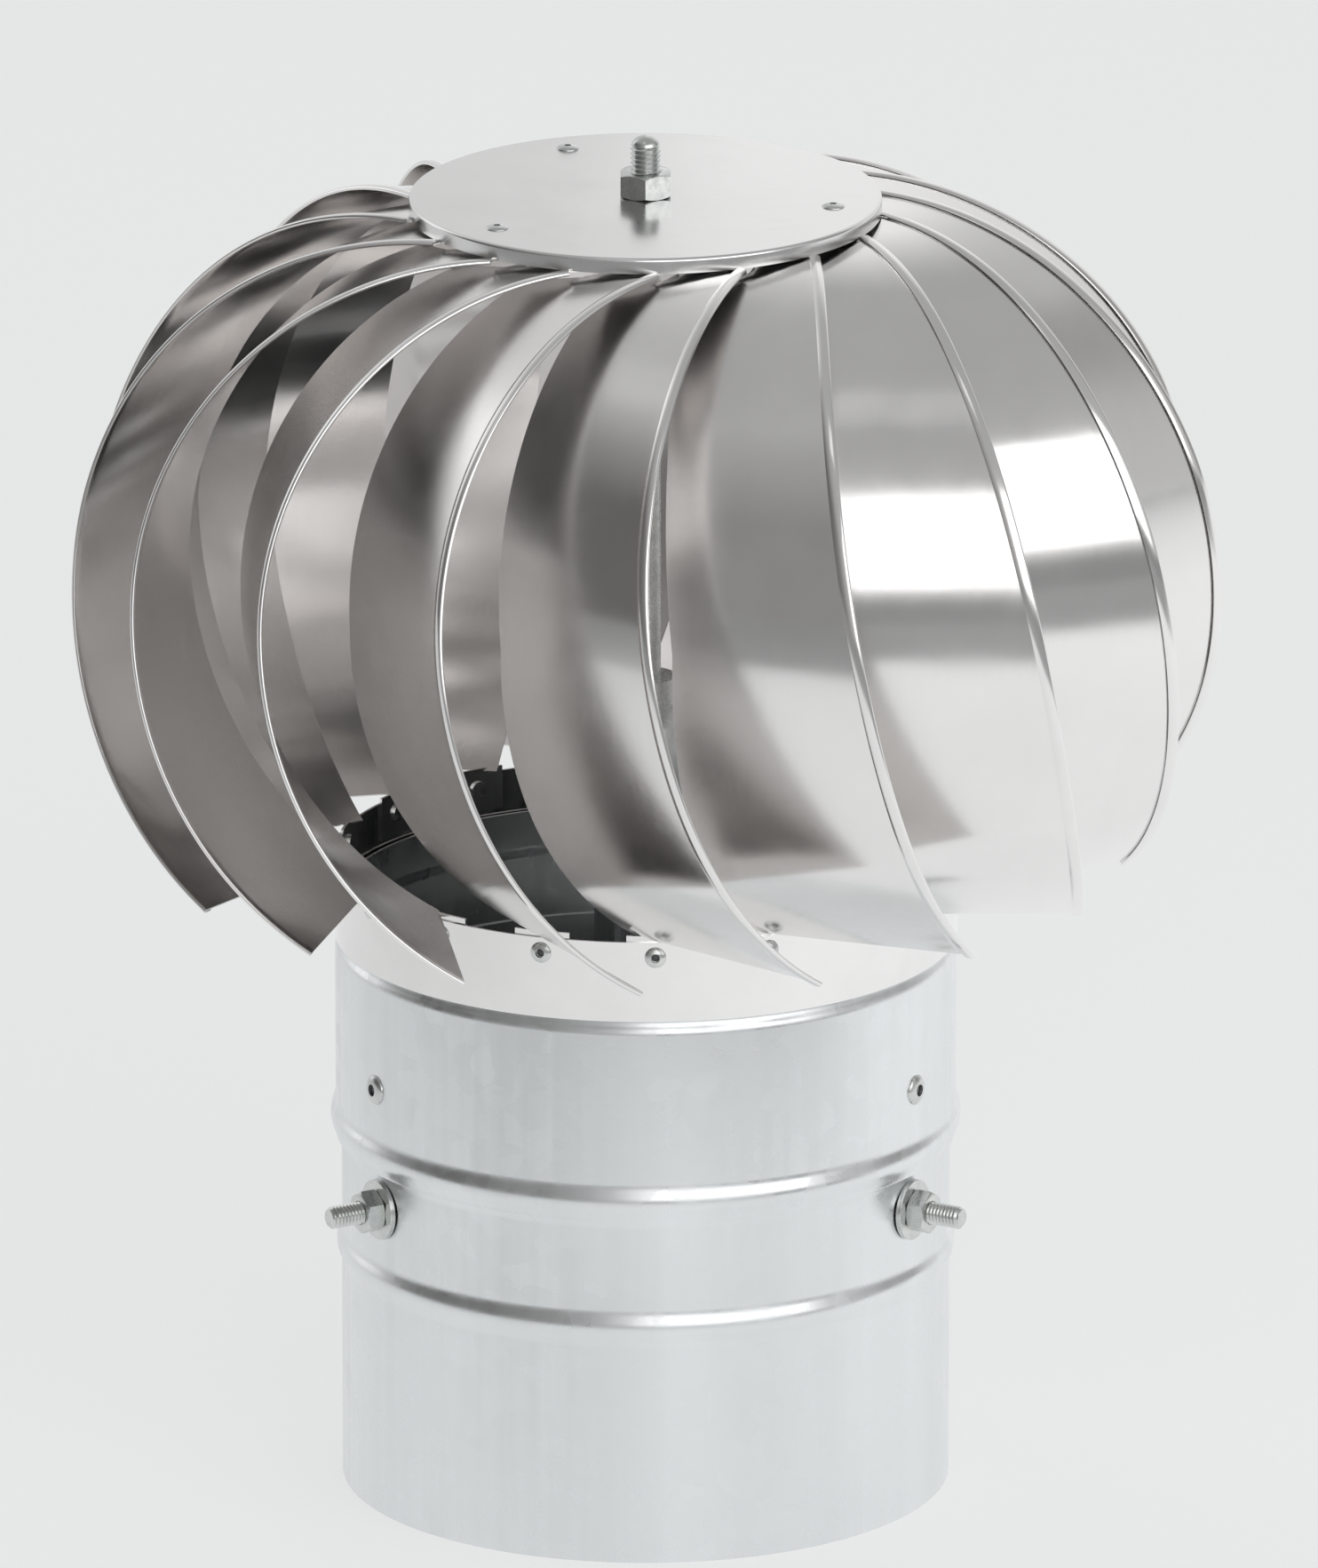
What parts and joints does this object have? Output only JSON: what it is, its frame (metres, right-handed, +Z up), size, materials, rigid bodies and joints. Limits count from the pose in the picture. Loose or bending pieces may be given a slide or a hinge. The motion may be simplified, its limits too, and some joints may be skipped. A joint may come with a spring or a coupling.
{
  "type": "roof turbine ventilator",
  "caption": "Wind-driven turbine ventilator: a globe of curved blades under a flat cap turns on an axle above a round duct spigot.",
  "frame": {"origin": "centre of the spigot's lower rim, on the turning axis", "axes": "+Z up along the turning axis, -Y the front, +X to the right seen from the front"},
  "size_m": [0.3002, 0.3, 0.364],
  "materials": {
    "galvanised_sheet": "bright galvanised sheet with a faint spangle",
    "polished_sheet": "mirror-polished stainless sheet",
    "zinc_plated_steel": "bright zinc plate",
    "bearing_steel": "ground and polished bearing steel",
    "bearing_seal": "moulded seal rubber",
    "bearing_cage": "natural polyamide",
    "spring_steel": "phosphated spring steel"
  },
  "bodies": {
    "base": {"base_pipe": "galvanised_sheet", "neck_sleeve": "galvanised_sheet", "lower_spider": "galvanised_sheet", "upper_spider": "galvanised_sheet", "neck_rivets": "zinc_plated_steel", "spider_bolts": "zinc_plated_steel", "spider_bolt_washers": "zinc_plated_steel", "spider_bolt_nuts": "zinc_plated_steel", "bearing_housing": "galvanised_sheet", "lower_circlip": "spring_steel", "upper_circlip": "spring_steel", "lower_bearing_outer_ring": "bearing_steel", "upper_bearing_outer_ring": "bearing_steel", "lower_bearing_shields": "bearing_seal", "upper_bearing_shields": "bearing_seal"},
    "rotor": {"axle": "zinc_plated_steel", "axle_washer": "zinc_plated_steel", "axle_lock_nut": "zinc_plated_steel", "lower_spacer": "zinc_plated_steel", "upper_spacer": "zinc_plated_steel", "rain_shield": "galvanised_sheet", "axle_collar": "zinc_plated_steel", "collar_screw": "zinc_plated_steel", "plate_nut": "zinc_plated_steel", "plate_washer": "zinc_plated_steel", "blade_plate": "polished_sheet", "plate_rivets": "zinc_plated_steel", "cap_spacer": "zinc_plated_steel", "top_cap": "polished_sheet", "cap_rivets": "zinc_plated_steel", "top_nut": "zinc_plated_steel", "lower_ring": "polished_sheet", "ring_rivets": "zinc_plated_steel", "lower_bearing_inner_ring": "bearing_steel", "upper_bearing_inner_ring": "bearing_steel", "blade_01": "polished_sheet", "blade_02": "polished_sheet", "blade_03": "polished_sheet", "blade_04": "polished_sheet", "blade_05": "polished_sheet", "blade_06": "polished_sheet", "blade_07": "polished_sheet", "blade_08": "polished_sheet", "blade_09": "polished_sheet", "blade_10": "polished_sheet", "blade_11": "polished_sheet", "blade_12": "polished_sheet", "blade_13": "polished_sheet", "blade_14": "polished_sheet", "blade_15": "polished_sheet", "blade_16": "polished_sheet", "blade_17": "polished_sheet"},
    "lower_ball_set": {"lower_bearing_cage": "bearing_cage", "lower_bearing_balls": "bearing_steel"},
    "upper_ball_set": {"upper_bearing_cage": "bearing_cage", "upper_bearing_balls": "bearing_steel"}
  },
  "joints": [
    {"name": "rotor_spin", "type": "hinge", "parent": "base", "child": "rotor", "pos_m": [0, 0, 0.14], "axis": [0, 0, 1], "continuous": true},
    {"name": "lower_ball_set_spin", "type": "hinge", "parent": "base", "child": "lower_ball_set", "pos_m": [0, 0, 0.0806], "axis": [0, 0, 1], "continuous": true},
    {"name": "upper_ball_set_spin", "type": "hinge", "parent": "base", "child": "upper_ball_set", "pos_m": [0, 0, 0.1994], "axis": [0, 0, 1], "continuous": true}
  ],
  "couplings": [
    {"joint": "lower_ball_set_spin", "follows": "rotor_spin", "ratio": 0.368},
    {"joint": "upper_ball_set_spin", "follows": "rotor_spin", "ratio": 0.368}
  ]
}
